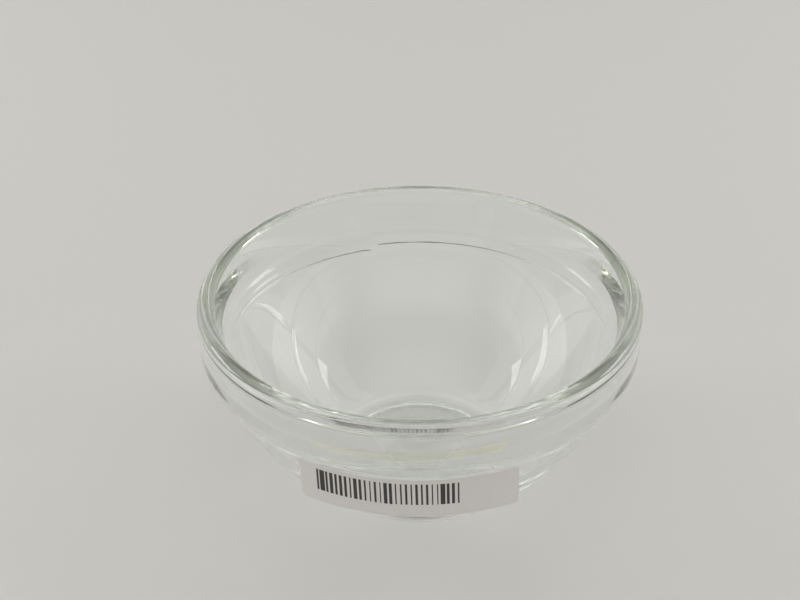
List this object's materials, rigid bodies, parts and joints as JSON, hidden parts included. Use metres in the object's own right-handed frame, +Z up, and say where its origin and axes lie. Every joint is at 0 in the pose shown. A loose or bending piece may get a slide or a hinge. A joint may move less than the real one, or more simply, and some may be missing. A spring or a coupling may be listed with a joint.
{
  "type": "prep bowl",
  "caption": "Stacking prep bowl of clear pressed glass: full-round lip, collar with a leaning inside and a rounded lower edge over a crease, curved side, foot ring, and a stock label at the front.",
  "frame": {"origin": "centre of the foot, on the surface that the bowl stands on", "axes": "+Z up along the bowl's axis, -Y towards the front, where the label is, +X to the right seen from the front"},
  "size_m": [0.09, 0.09, 0.045],
  "materials": {
    "clear_glass": "pressed, fire-polished clear tempered glass",
    "adhesive": "thin pressure-sensitive adhesive, satin",
    "label_film": "smooth white label stock, satin"
  },
  "bodies": {
    "root": {"glass_bowl": "clear_glass", "label_adhesive": "adhesive", "label_film": "label_film"}
  },
  "joints": []
}
